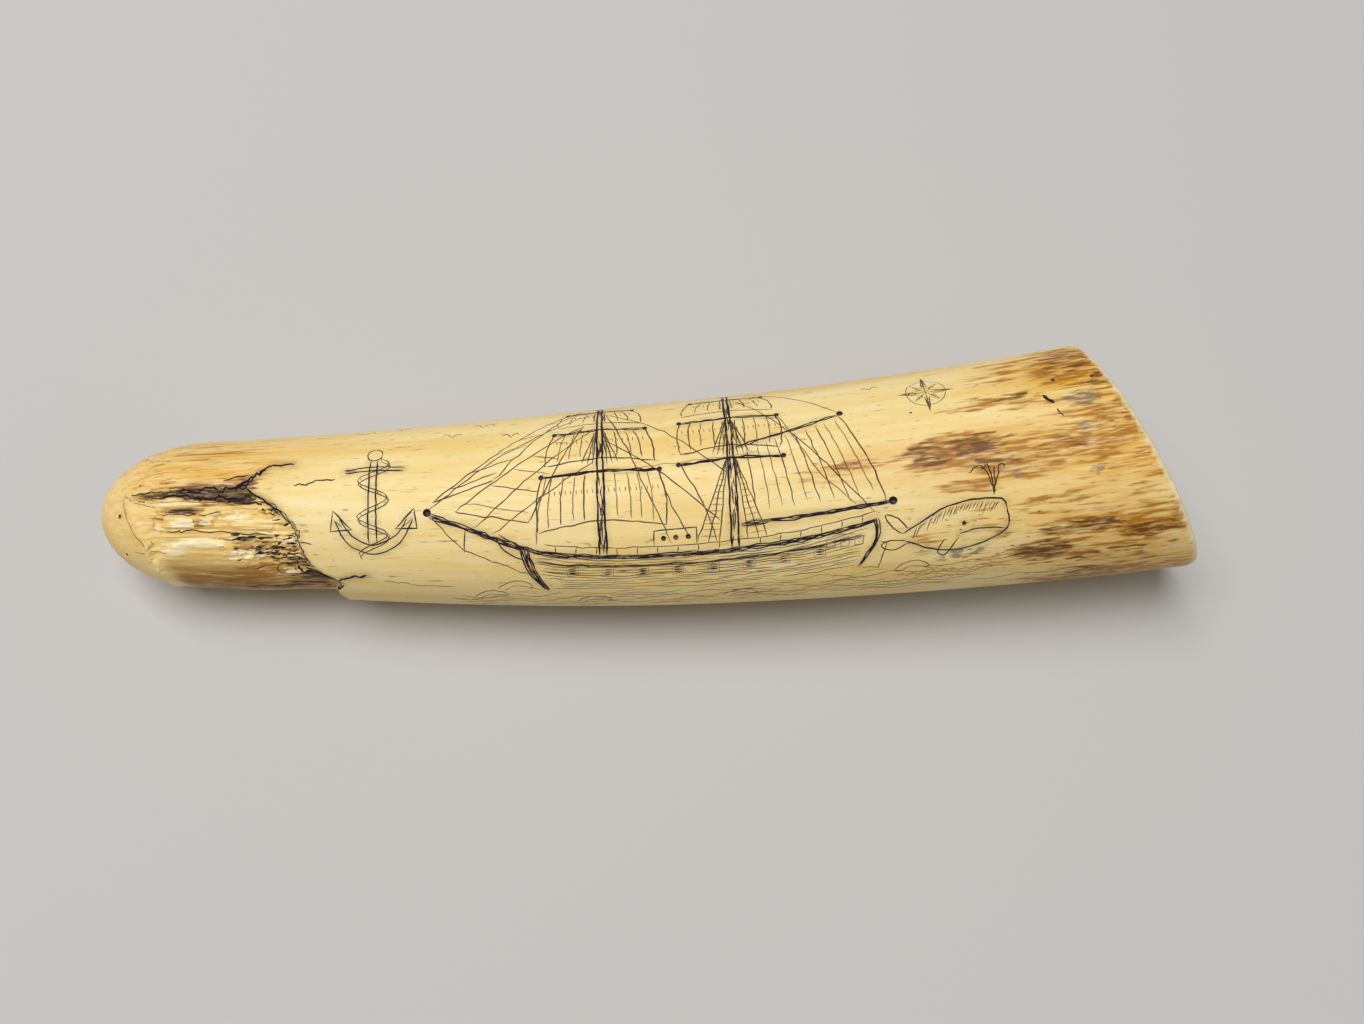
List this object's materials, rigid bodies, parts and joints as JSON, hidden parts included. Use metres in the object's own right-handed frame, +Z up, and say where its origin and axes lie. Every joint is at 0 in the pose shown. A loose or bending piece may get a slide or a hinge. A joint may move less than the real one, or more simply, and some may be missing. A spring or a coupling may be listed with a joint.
{
  "type": "scrimshaw walrus tusk",
  "caption": "Sawn length of walrus tusk lying on its side, with a worn tip, a broken outer layer near it and a slanting saw cut at the root, engraved on one side.",
  "frame": {"origin": "under the middle of the tusk's extent, at the level it rests on", "axes": "+X from the worn tip towards the sawn root, +Z up as it lies on its belly flat, -Y towards the side the broken patch faces"},
  "size_m": [0.264, 0.0598, 0.0458],
  "materials": {
    "ivory": "aged yellow ivory, polished by handling, with inked engraving and brown stains"
  },
  "bodies": {
    "root": {"tusk": "ivory"}
  },
  "joints": []
}
